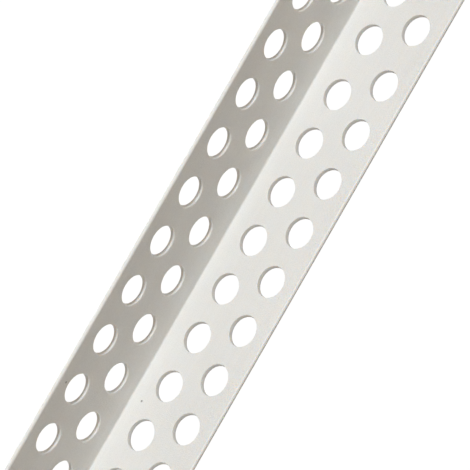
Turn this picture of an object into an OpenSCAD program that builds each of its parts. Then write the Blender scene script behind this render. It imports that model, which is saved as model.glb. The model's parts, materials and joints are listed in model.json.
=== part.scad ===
// Drywall corner bead: a thin extruded angle of rigid PVC that covers an outside wall corner.
// It lies on one flange, with the other leaning over it. The open side faces -Y and the bead runs along X.
// Origin: middle of the bead's length and depth, at the underside. Millimetres, +Z up.

/* [Section] */
// Length of the piece of stock
length = 2438.4; // [400:0.1:3048]
// Leg of the angle, measured over the rounded nose
leg = 31.75; // [30:0.05:60]
// Thickness of both flanges and of the nose
wall = 1.2; // [0.6:0.05:1.5]
// Opening between the flanges, sprung in from a right angle so that they grip the wall
opening = 81.5; // [60:0.5:90]
// Radius of the inner corner
corner_r = 0.4; // [0.3:0.05:2.5]
// Radius on the flanges' free edges
edge_r = 0.2; // [0.1:0.05:0.29]

/* [Punched holes] */
// Diameter of a hole
hole_d = 8.4; // [4:0.01:9]
// Spacing of the holes along a row
pitch = 14.3; // [12:0.1:30]
// First row of a flange, measured over the nose as the leg is
row_1 = 10.75; // [9:0.05:13]
// Second row of a flange, measured from its free edge
row_2 = 8.5; // [6:0.05:10]
// Least distance from a hole's centre to an end of the bead
end_margin = 14; // [6:0.1:30]
// Lead of the leaning flange's holes over the lower flange's
lean_lead = 7.55; // [0:0.05:12]

/* [Press strokes] */
// Holes that one stroke of the press makes in a row
stroke_holes = 24; // [12:1:60]
// Extra feed between one stroke and the next
stroke_gap = 1.9; // [0:0.1:4]
// Holes in the first stroke on the lower flange
base_first = 17; // [1:1:24]
// Holes in the first stroke on the leaning flange
lean_first = 5; // [1:1:24]

/* [Hidden] */
$fn = 64;
pvc_colour = [0.91, 0.9, 0.88];
nose_r = corner_r + wall;
// Width of a flange's flat, from the nose's centre to the free edge
flat_w = leg - nose_r;
// Turn from a flange that lies flat to one that stands at half the opening
tilt = 90 - opening / 2;
// A cutter stands this far out of the wall at each side
cut_over = 1;

// A quarter of a disc about the origin, in the corner that the signs name
module quarter_disc(r, sign_x, sign_y) {
    intersection() {
        circle(r);
        translate([sign_x * r / 2, sign_y * r / 2]) square(r, center = true);
    }
}

// One flange's section, lying flat: it runs to -X from below the nose's centre, free edge rounded
module flange_section() {
    translate([-flat_w, -nose_r]) {
        translate([edge_r, 0]) square([flat_w - edge_r, wall]);
        translate([0, edge_r]) square([edge_r, wall - 2 * edge_r]);
        translate([edge_r, edge_r]) quarter_disc(edge_r, -1, -1);
        translate([edge_r, wall - edge_r]) quarter_disc(edge_r, -1, 1);
    }
}

// The quarter ring that carries a flange round the nose, concentric inside and outside
module nose_section() {
    difference() {
        quarter_disc(nose_r, 1, -1);
        circle(corner_r);
    }
}

// Half of the angle, to the left of its middle plane, with the nose pointing down
module half_section() {
    intersection() {
        rotate(-tilt) {
            flange_section();
            nose_section();
        }
        translate([-2 * leg, -leg]) square([2 * leg, 3 * leg]);
    }
}

// The angle turned so that one flange lies flat, the nose's centre at the origin
module bead_section() {
    rotate(tilt) {
        half_section();
        mirror([1, 0]) half_section();
    }
}

// Place along the bead of hole i in a row, whose press strokes begin after its first few holes
function hole_x(i, lead, first) =
    end_margin - length / 2 + lead + i * pitch + stroke_gap * (floor((i - first) / stroke_holes) + 1);

// One row of holes through the flange that lies flat, at a distance over the nose
module hole_row(lead, first, distance) {
    for (i = [0 : floor(length / pitch)])
        if (hole_x(i, lead, first) <= length / 2 - end_margin)
            translate([hole_x(i, lead, first), nose_r - distance, -nose_r - cut_over])
                cylinder(d = hole_d, h = wall + 2 * cut_over);
}

// Both rows of a flange, the second set half a pitch on
module flange_holes(lead, first) {
    hole_row(lead, first, row_1);
    hole_row(lead + pitch / 2, first, leg - row_2);
}

// The whole bead, one piece of extruded PVC with its punched holes
module corner_bead() {
    color(pvc_colour) translate([0, (flat_w - nose_r) / 2, nose_r]) difference() {
        rotate([90, 0, 90]) linear_extrude(length, center = true) bead_section();
        flange_holes(0, base_first);
        rotate([-opening, 0, 0]) mirror([0, 0, 1]) flange_holes(lean_lead, lean_first);
    }
}

corner_bead();
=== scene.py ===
import json
import math

import bpy
import numpy as np
from mathutils import Matrix, Vector


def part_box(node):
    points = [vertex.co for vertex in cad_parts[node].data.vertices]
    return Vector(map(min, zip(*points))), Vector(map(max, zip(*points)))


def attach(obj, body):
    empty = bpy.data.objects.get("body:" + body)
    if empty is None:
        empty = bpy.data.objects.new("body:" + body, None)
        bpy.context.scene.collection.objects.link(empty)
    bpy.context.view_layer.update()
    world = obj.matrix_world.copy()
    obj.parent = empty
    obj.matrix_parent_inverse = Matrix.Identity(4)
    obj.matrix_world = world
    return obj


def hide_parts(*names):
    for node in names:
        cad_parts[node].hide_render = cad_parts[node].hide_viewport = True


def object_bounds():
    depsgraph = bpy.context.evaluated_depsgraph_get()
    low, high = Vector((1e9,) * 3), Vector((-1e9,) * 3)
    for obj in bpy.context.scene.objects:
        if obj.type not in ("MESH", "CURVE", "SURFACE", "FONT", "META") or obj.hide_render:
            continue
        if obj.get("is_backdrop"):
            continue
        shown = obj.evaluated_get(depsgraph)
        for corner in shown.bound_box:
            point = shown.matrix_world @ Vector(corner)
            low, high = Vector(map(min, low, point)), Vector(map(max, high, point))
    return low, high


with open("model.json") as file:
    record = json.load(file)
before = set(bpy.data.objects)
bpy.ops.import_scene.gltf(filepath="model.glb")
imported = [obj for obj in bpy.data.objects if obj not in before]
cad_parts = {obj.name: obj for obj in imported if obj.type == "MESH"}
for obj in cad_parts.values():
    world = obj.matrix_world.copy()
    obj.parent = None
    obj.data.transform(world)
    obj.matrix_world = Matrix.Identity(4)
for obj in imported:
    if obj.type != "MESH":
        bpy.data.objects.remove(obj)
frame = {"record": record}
cad_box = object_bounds()

# The bead's section.
# A thin angle of rigid PVC, extruded as one strip: two equal flanges that meet in a round nose. The flanges
# are sprung in from a right angle, so that the fitted bead grips the corner of the wall.
MM = 0.001
low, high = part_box("corner_bead")
mounts = {mount["name"]: mount for mount in frame["record"]["mounts"]}
first_hole = mounts["nail_base_inner_start"]
bead_length = high.x - low.x
leg = 31.75 * MM
wall = first_hole["dims"]["length_mm"] * MM
opening = math.radians(81.5)
corner_r = 0.4 * MM
nose_r = corner_r + wall
edge_r = 0.55 * MM
flat_w = leg - nose_r
nose_centre = np.array([0.0, flat_w + low.y, low.z + nose_r])
nose_steps = 8
edge_steps = 4

# Each flange's direction away from the nose and its outward normal. The lower flange lies flat, and the
# other is its mirror image in the angle's middle plane.
lower_flange = np.array([[0, -1, 0], [0, 0, -1]])
leaning_flange = np.array(
    [
        [0, -math.cos(opening), math.sin(opening)],
        [0, math.sin(opening), math.cos(opening)],
    ]
)


def on_flange(flange, x, along, depth):
    """Points of a flange: x down the bead, along from the nose's centre line, depth from the inner face."""
    x, along, depth = np.broadcast_arrays(x, along, depth)
    run, out = flange
    place = nose_centre + along[..., None] * run + (corner_r + depth)[..., None] * out
    place[..., 0] += x
    return place


# The punched holes.
# Two rows of round holes in each flange, the second row half a pitch on, punched a group at a time. On the
# leaning flange the punch rolls the inner rim over and leaves a burr behind. The lower flange's holes are
# punched from below and widen a little towards the inner face, by the die's clearance.
hole_r = first_hole["dims"]["r_mm"] * MM
pitch = 14.3 * MM
end_margin = 14 * MM
rounding = 0.01 * MM
stroke_holes = 24
stroke_gap = 1.9 * MM
rim_steps = 24
side_steps = rim_steps // 4
half_steps = side_steps // 2

# The first row is measured over the nose, as the leg is, and the second from the free edge.
first_row = 10.75 * MM
second_row = 8.5 * MM
row_places = [first_row - nose_r, flat_w - second_row]
row_bounds = [0.0, sum(row_places) / 2, flat_w - edge_r]


def hole_line(start, first_stroke):
    """The places along the bead of both rows' holes by turns, half a pitch apart, with the press's longer
    feed after every stroke. They stop at the margin from the bead's end."""
    half = np.arange(int(2 * bead_length / pitch))
    strokes = np.floor((half // 2 - first_stroke) / stroke_holes) + 1
    line = start + half * pitch / 2 + stroke_gap * strokes
    return line[line <= bead_length / 2 - end_margin + rounding]


def stations_of(line):
    """Cross lines of a flange: the bead's ends, half a pitch beyond the outer holes, every hole, and equal
    steps between them. Also gives the index of the first hole's line."""
    before = [-bead_length / 2, line[0] - pitch / 2]
    after = [line[-1] + pitch / 2, bead_length / 2]
    marks = np.concatenate([before, line, after])
    steps = np.arange((len(marks) - 1) * half_steps + 1) / half_steps
    return np.interp(steps, np.arange(len(marks)), marks), len(before) * half_steps


def row_marks(row):
    """The places across a flange of a row's two borders, with equal steps between them."""
    return np.linspace(row_bounds[row], row_bounds[row + 1], side_steps + 1)


def ring_faces(cells, rings, count):
    """Quads between neighbouring rings of every cell, each ring closed on itself."""
    index = np.arange(cells * rings * count).reshape(cells, rings, count)
    turned = np.roll(index, -1, axis=2)
    quads = [index[:, 1:], turned[:, 1:], turned[:, :-1], index[:, :-1]]
    return np.stack(quads, -1).reshape(-1, 4)


def grid_faces(rows, columns):
    """Quads of a grid of points, row after row."""
    index = np.arange(rows * columns).reshape(rows, columns)
    quads = [index[:-1, :-1], index[:-1, 1:], index[1:, 1:], index[1:, :-1]]
    return np.stack(quads, -1).reshape(-1, 4)


def hole_cells(flange, roll_over, front, back, line, stations, first, row):
    """A row's cells. Each is five rings about a hole: the cell's rectangle on the inner face, the rim where
    it starts to roll over, the front and the back of the hole's wall, and the rectangle on the outer face.
    A rectangle walked at an even pace is a clipped triangle wave in each of its two directions. The rings
    start at the rectangle's first corner, five eighths of a turn from the bead's direction."""
    step = np.arange(rim_steps)
    wave = 1.5 * side_steps
    side_x = np.clip(wave - np.abs(step - wave), 0, side_steps).astype(int)
    side_y = np.clip(wave - np.abs((step - side_steps) % rim_steps - wave), 0, side_steps)
    angle = 2 * math.pi * (step / rim_steps + 5 / 8)
    holes = np.arange(row, len(line), 2)
    begin = first + (holes - 1) * half_steps
    box_x = stations[begin[:, None] + side_x]
    box_y = row_bounds[row] + (row_bounds[row + 1] - row_bounds[row]) * side_y / side_steps
    radii = hole_r + np.array([front + roll_over, front, back])[:, None]
    rim_x = line[holes, None, None] + radii * np.cos(angle)
    rim_y = row_places[row] + radii * np.sin(angle)
    x = np.concatenate([box_x[:, None], rim_x, box_x[:, None]], 1)
    along = np.concatenate([box_y[None], rim_y, box_y[None]])[None]
    depth = np.array([0, 0, roll_over, wall, wall])[None, :, None]
    points = on_flange(flange, x, along, depth)
    return points.reshape(-1, 3), ring_faces(len(holes), points.shape[1], rim_steps)


def plain_ends(flange, line, stations, first, row):
    """The unpunched stretches of a row at the bead's two ends, as grids on the inner and the outer face."""
    holes = np.arange(row, len(line), 2)
    begin = first + (holes[0] - 1) * half_steps
    end = first + (holes[-1] + 1) * half_steps
    across = row_marks(row)
    for stretch in (stations[: begin + 1], stations[end:]):
        quads = grid_faces(len(stretch), len(across))
        yield on_flange(flange, stretch[:, None], across, 0.0).reshape(-1, 3), quads
        yield on_flange(flange, stretch[:, None], across, wall).reshape(-1, 3), quads[:, ::-1]


# The nose and the free edges.
# Between and beside the punched fields the strip is plain: a concentric bend at the nose, and free edges
# whose corners the die leaves slightly round.
def stitch(first, second):
    """Triangles between two rows of stations that needn't match: each step of one row is joined to the
    station of the other that lies nearest in order."""
    mid_first = (first[1:] + first[:-1]) / 2
    mid_second = (second[1:] + second[:-1]) / 2
    a = np.arange(len(mid_first))
    b = np.arange(len(mid_second)) + len(first)
    to_second = np.searchsorted(mid_second, mid_first) + len(first)
    to_first = np.searchsorted(mid_first, mid_second, side="right")
    from_first = np.stack([a, a + 1, to_second], -1)
    from_second = np.stack([b + 1, b, to_first], -1)
    return np.concatenate([from_first, from_second])


def swept(profile, first, last):
    """A section's line carried along the bead. Its first and last points run through the stations of the
    fields that they border, and the points between them through one station a pitch."""
    between = np.linspace(-bead_length / 2, bead_length / 2, int(bead_length / pitch))
    rows = [first] + [between] * (len(profile) - 2) + [last]
    starts = np.cumsum([0] + [len(row) for row in rows])
    points = [
        np.column_stack([row, np.broadcast_to(place, (len(row), 2))])
        for row, place in zip(rows, profile)
    ]
    faces = [stitch(a, b) + start for a, b, start in zip(rows[:-1], rows[1:], starts)]
    return np.concatenate(points), np.concatenate(faces)


def edge_line(flange):
    """A free edge's line from the inner face to the outer: a quarter circle, a flat and another quarter
    circle."""
    turn = np.linspace(0, math.pi / 2, edge_steps + 1)
    along = flat_w - edge_r + edge_r * np.sin(turn)
    depth = edge_r - edge_r * np.cos(turn)
    along = np.concatenate([along, along[::-1]])
    depth = np.concatenate([depth, wall - depth[::-1]])
    return on_flange(flange, 0.0, along, depth)[:, 1:]


def nose_line(radius):
    """An arc about the nose's centre from the lower flange to the leaning one."""
    turn = np.linspace(0, math.pi - opening, nose_steps + 1) - math.pi / 2
    return nose_centre[1:] + radius * np.column_stack([np.cos(turn), np.sin(turn)])


# Each flange has its rim's roll-over, how far the front and the back of a hole's wall stand off from the
# nominal radius, and the holes of its first press stroke. The leaning flange's faces are wound the other
# way, as it is a mirror image.
parts = []
borders = []
for side, flange, mirrored, roll_over, front, back, first_stroke in (
    ("base", lower_flange, False, 0.06 * MM, 0.1 * MM, 0.0, 17),
    ("lean", leaning_flange, True, 0.25 * MM, 0.0, -0.12 * MM, 5),
):
    line = hole_line(mounts[f"nail_{side}_inner_start"]["pos_m"][0], first_stroke)
    stations, first = stations_of(line)
    borders.append(stations)
    for row in (0, 1):
        pieces = [hole_cells(flange, roll_over, front, back, line, stations, first, row)]
        pieces += plain_ends(flange, line, stations, first, row)
        parts += [(points, faces[:, ::-1] if mirrored else faces) for points, faces in pieces]
    points, faces = swept(edge_line(flange), stations, stations)
    parts.append((points, faces if mirrored else faces[:, ::-1]))
points, faces = swept(nose_line(corner_r), *borders)
parts.append((points, faces))
points, faces = swept(nose_line(nose_r), *borders)
parts.append((points, faces[:, ::-1]))

# The sawn ends.
# The strip is cut square to length with a saw, so that each end shows the bare section. Its outline has the
# same points across the flanges as the rows have.
across = np.concatenate([row_marks(0), row_marks(1)[1:]])
outline = np.concatenate(
    [
        on_flange(lower_flange, 0.0, across[::-1], 0.0)[:, 1:],
        nose_line(corner_r)[1:-1],
        on_flange(leaning_flange, 0.0, across, 0.0)[:, 1:],
        edge_line(leaning_flange)[1:-1],
        on_flange(leaning_flange, 0.0, across[::-1], wall)[:, 1:],
        nose_line(nose_r)[::-1][1:-1],
        on_flange(lower_flange, 0.0, across, wall)[:, 1:],
        edge_line(lower_flange)[::-1][1:-1],
    ]
)
for end in (-1, 1):
    points = np.column_stack([np.full(len(outline), end * bead_length / 2), outline])
    parts.append((points, np.arange(len(points))[None, ::-end]))

# All the surfaces are joined into one closed skin, where points within the weld's width become one. Its
# bends are shaded round and its flats flat.
weld = 0.002 * MM
sharp_from = math.radians(60)
starts = np.cumsum([0] + [len(points) for points, _ in parts])
loose = np.concatenate([points for points, _ in parts])
_, kept, welded = np.unique(
    (loose / weld).round().astype(int), axis=0, return_index=True, return_inverse=True
)
welded = welded.ravel()
polygons = []
for (_, faces), start in zip(parts, starts):
    polygons += welded[faces + start].tolist()
bead_mesh = bpy.data.meshes.new("corner_bead_strip")
bead_mesh.from_pydata(loose[kept].tolist(), [], polygons)
bead_mesh.polygons.foreach_set("use_smooth", np.ones(len(bead_mesh.polygons), bool))
bead_mesh.set_sharp_from_angle(angle=sharp_from)
bead = bpy.data.objects.new("corner_bead_strip", bead_mesh)
bpy.context.scene.collection.objects.link(bead)
weighted = bead.modifiers.new("flat_faces", "WEIGHTED_NORMAL")
weighted.weight = 100
weighted.keep_sharp = True

# Extruded rigid PVC.
# Filled white and extruded through a steel die, then cooled in a water bath. That gives the eye a satin
# skin with a fine grain, faint lines along the strip, a slow drift in tone and a dark speck here and there.


def linear(colour):
    """An sRGB hex colour as linear RGBA."""
    srgb = np.array([int(colour[i : i + 2], 16) for i in (1, 3, 5)]) / 255
    rgb = np.where(srgb <= 0.04045, srgb / 12.92, ((srgb + 0.055) / 1.055) ** 2.4)
    return (*rgb.tolist(), 1.0)


def add(tree, kind, settings):
    """Adds a node. Each setting is a property of the node, or an input by its name or number, which takes a
    value or is linked to the socket that is given."""
    node = tree.nodes.new(kind)
    for name, value in settings.items():
        if isinstance(name, str) and hasattr(node, name):
            setattr(node, name, value)
        elif isinstance(value, bpy.types.NodeSocket):
            tree.links.new(value, node.inputs[name])
        else:
            node.inputs[name].default_value = value
    return node


pvc = bpy.data.materials.new("extruded_rigid_pvc")
pvc.use_nodes = True
tree = pvc.node_tree
shader = tree.nodes["Principled BSDF"]
shader.inputs["IOR"].default_value = 1.54
place = add(tree, "ShaderNodeTexCoord", {}).outputs["Object"]

# Light enters the filled plastic and softens the crease. It is drawn deeper than the real tenth of a
# millimetre.
light_depth = 0.5 * MM
shader.inputs["Subsurface Weight"].default_value = 1.0
shader.inputs["Subsurface Radius"].default_value = (1.0, 0.9, 0.8)
shader.inputs["Subsurface Scale"].default_value = light_depth

# The lines are drawn about 1 mm apart and 60 mm long, wider than the die's own scratches, which wouldn't
# show.
line_gap = 1.0 * MM
line_length = 60 * MM
along_strip = add(
    tree, "ShaderNodeMapping", {"Vector": place, "Scale": (line_gap / line_length, 1, 1)}
).outputs[0]
die_lines = add(
    tree,
    "ShaderNodeTexNoise",
    {"Vector": along_strip, "Scale": 1 / line_gap, "Detail": 2.0, "Roughness": 0.6},
).outputs[0]

# The grain is coarser and deeper than the real skin's few hundredths of a millimetre, so that it shows.
grain_size = 0.3 * MM
grain_depth = 0.08 * MM
grain_share = 0.7
grain = add(
    tree, "ShaderNodeTexNoise", {"Vector": place, "Scale": 1 / grain_size, "Detail": 0.0}
).outputs[0]
fine = add(
    tree,
    "ShaderNodeMix",
    {"data_type": "FLOAT", "Factor": grain_share, "A": die_lines, "B": grain},
).outputs[0]
relief = add(
    tree, "ShaderNodeBump", {"Height": fine, "Distance": grain_depth, "Strength": 1.0}
)
tree.links.new(relief.outputs[0], shader.inputs["Normal"])

# Tone and gloss follow the grain and a slow drift, over the range that the noise mostly keeps to.
drift_size = 40 * MM
fine_share = 0.65
noise_low = 0.3
noise_high = 0.7
drift = add(
    tree, "ShaderNodeTexNoise", {"Vector": place, "Scale": 1 / drift_size, "Detail": 3.0}
).outputs[0]
unevenness = add(
    tree,
    "ShaderNodeMix",
    {"data_type": "FLOAT", "Factor": fine_share, "A": drift, "B": fine},
).outputs[0]
skin = add(tree, "ShaderNodeValToRGB", {"Fac": unevenness})
skin.color_ramp.elements[0].position = noise_low
skin.color_ramp.elements[0].color = linear("#e8e8e6")
skin.color_ramp.elements[1].position = noise_high
skin.color_ramp.elements[1].color = linear("#f4f4f2")
gloss = add(
    tree,
    "ShaderNodeMapRange",
    {
        "Value": unevenness,
        "From Min": noise_low,
        "From Max": noise_high,
        "To Min": 0.38,
        "To Max": 0.5,
    },
)
tree.links.new(gloss.outputs[0], shader.inputs["Roughness"])

# A speck is a ball of burnt resin that the skin cuts: one cell in five has one.
speck_cell = 5 * MM
speck_radius = 0.4 * MM
speck_share = 0.2
speck_strength = 0.7
cells = add(tree, "ShaderNodeTexVoronoi", {"Vector": place, "Scale": 1 / speck_cell})
chosen = add(
    tree,
    "ShaderNodeMath",
    {"operation": "LESS_THAN", 0: cells.outputs["Color"], 1: speck_share},
).outputs[0]
ball = add(
    tree,
    "ShaderNodeMapRange",
    {
        "Value": cells.outputs["Distance"],
        "From Min": 0.5 * speck_radius / speck_cell,
        "From Max": speck_radius / speck_cell,
        "To Min": speck_strength,
        "To Max": 0.0,
    },
).outputs[0]
speck = add(tree, "ShaderNodeMath", {"operation": "MULTIPLY", 0: chosen, 1: ball}).outputs[0]

# The colour mix takes its sockets by number, because each kind of data has sockets of the same names.
colour = add(
    tree,
    "ShaderNodeMix",
    {"data_type": "RGBA", "Factor": speck, 6: skin.outputs[0], 7: linear("#5f584e")},
).outputs[2]
tree.links.new(colour, shader.inputs["Base Color"])
bead_mesh.materials.append(pvc)
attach(bead, "root")
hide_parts("corner_bead")

# The floor.
# A sheet of uncoated white paper that the bead lies on, too matt to mirror it. It looks white in the
# picture and keeps a faint shadow.
half_floor = 6.0
paper_gap = 0.02 * MM
corners = half_floor * np.array([(-1, -1, 0), (1, -1, 0), (1, 1, 0), (-1, 1, 0)])
floor_mesh = bpy.data.meshes.new("floor")
floor_mesh.from_pydata((corners + [0, 0, low.z - paper_gap]).tolist(), [], [(0, 1, 2, 3)])
floor = bpy.data.objects.new("floor", floor_mesh)
bpy.context.scene.collection.objects.link(floor)
floor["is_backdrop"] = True
paper = bpy.data.materials.new("white_paper")
paper.use_nodes = True
tree = paper.node_tree
tree.nodes.clear()
path = add(tree, "ShaderNodeLightPath", {}).outputs
seen = add(
    tree,
    "ShaderNodeMath",
    {"operation": "MAXIMUM", 0: path["Is Camera Ray"], 1: path["Is Glossy Ray"]},
).outputs[0]
matt = add(tree, "ShaderNodeBsdfDiffuse", {"Color": linear("#aca69e")})
faint = add(tree, "ShaderNodeBsdfDiffuse", {"Color": linear("#6c6c6c")})
glow = add(tree, "ShaderNodeEmission", {"Color": (1, 1, 1, 1), "Strength": 0.9})
white = add(tree, "ShaderNodeAddShader", {0: faint.outputs[0], 1: glow.outputs[0]})
look = add(tree, "ShaderNodeMixShader", {0: seen, 1: matt.outputs[0], 2: white.outputs[0]})
add(tree, "ShaderNodeOutputMaterial", {"Surface": look.outputs[0]})
floor_mesh.materials.append(paper)

# The light.
# A key light from above and a little in front, close to the leaning flange's own plane, a weaker lamp level
# behind the bead for its outer side, and an even fill. The backdrop is white only to the eye.
world = bpy.data.worlds.new("studio")
bpy.context.scene.world = world
world.use_nodes = True
tree = world.node_tree
tree.nodes.clear()
path = add(tree, "ShaderNodeLightPath", {}).outputs
seen = add(
    tree,
    "ShaderNodeMath",
    {"operation": "MAXIMUM", 0: path["Is Camera Ray"], 1: path["Is Transmission Ray"]},
).outputs[0]
fill = add(tree, "ShaderNodeBackground", {"Color": linear("#fff3e4"), "Strength": 0.3})
backdrop = add(tree, "ShaderNodeBackground", {"Color": (1, 1, 1, 1), "Strength": 1.0})
look = add(tree, "ShaderNodeMixShader", {0: seen, 1: fill.outputs[0], 2: backdrop.outputs[0]})
add(tree, "ShaderNodeOutputWorld", {"Surface": look.outputs[0]})

key = bpy.data.objects.new("key", bpy.data.lights.new("key", "SUN"))
key.data.color = linear("#fafdff")[:3]
key.data.energy = 2.02
key.data.angle = math.radians(4)
key_tilt = math.radians(13.0)
key_aside = 0.12
to_key = Vector((key_aside, -math.sin(key_tilt), math.cos(key_tilt)))
key.rotation_euler = to_key.to_track_quat("Z", "Y").to_euler()
bpy.context.scene.collection.objects.link(key)

rear = bpy.data.objects.new("rear", bpy.data.lights.new("rear", "SUN"))
rear.data.color = linear("#fafdff")[:3]
rear.data.energy = 0.8
rear.data.angle = math.radians(2)
rear_lift = math.radians(1)
to_rear = Vector((0.0, math.cos(rear_lift), math.sin(rear_lift)))
rear.rotation_euler = to_rear.to_track_quat("Z", "Y").to_euler()
bpy.context.scene.collection.objects.link(rear)

# The camera.
# It looks down into the angle at a stretch near the bead's middle, rolled so that the bead runs from the
# picture's lower left to its upper right.
sensor = 36.0
picture = 470
focal_pixels = 3763
aim = Vector((14.96, 11.85, 0.9)) * MM
distance = 963.4 * MM
elevation = math.radians(46.581)
swing = math.radians(2.483)
roll = math.radians(58.233)
forward = Vector(
    (
        math.cos(elevation) * math.sin(swing),
        math.cos(elevation) * math.cos(swing),
        -math.sin(elevation),
    )
)
turn = forward.to_track_quat("-Z", "Y").to_matrix() @ Matrix.Rotation(-roll, 3, "Z")
camera = bpy.data.objects.new("camera", bpy.data.cameras.new("camera"))
camera.data.sensor_width = sensor
camera.data.lens = focal_pixels / picture * sensor
camera.data.clip_end = 100
camera.matrix_world = Matrix.LocRotScale(aim - distance * forward, turn, None)
bpy.context.scene.collection.objects.link(camera)
bpy.context.scene.camera = camera
bpy.context.scene.view_settings.view_transform = "Standard"

boxes = {"cad": cad_box, "visual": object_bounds()}
{name: [list(corner) for corner in box] for name, box in boxes.items()}
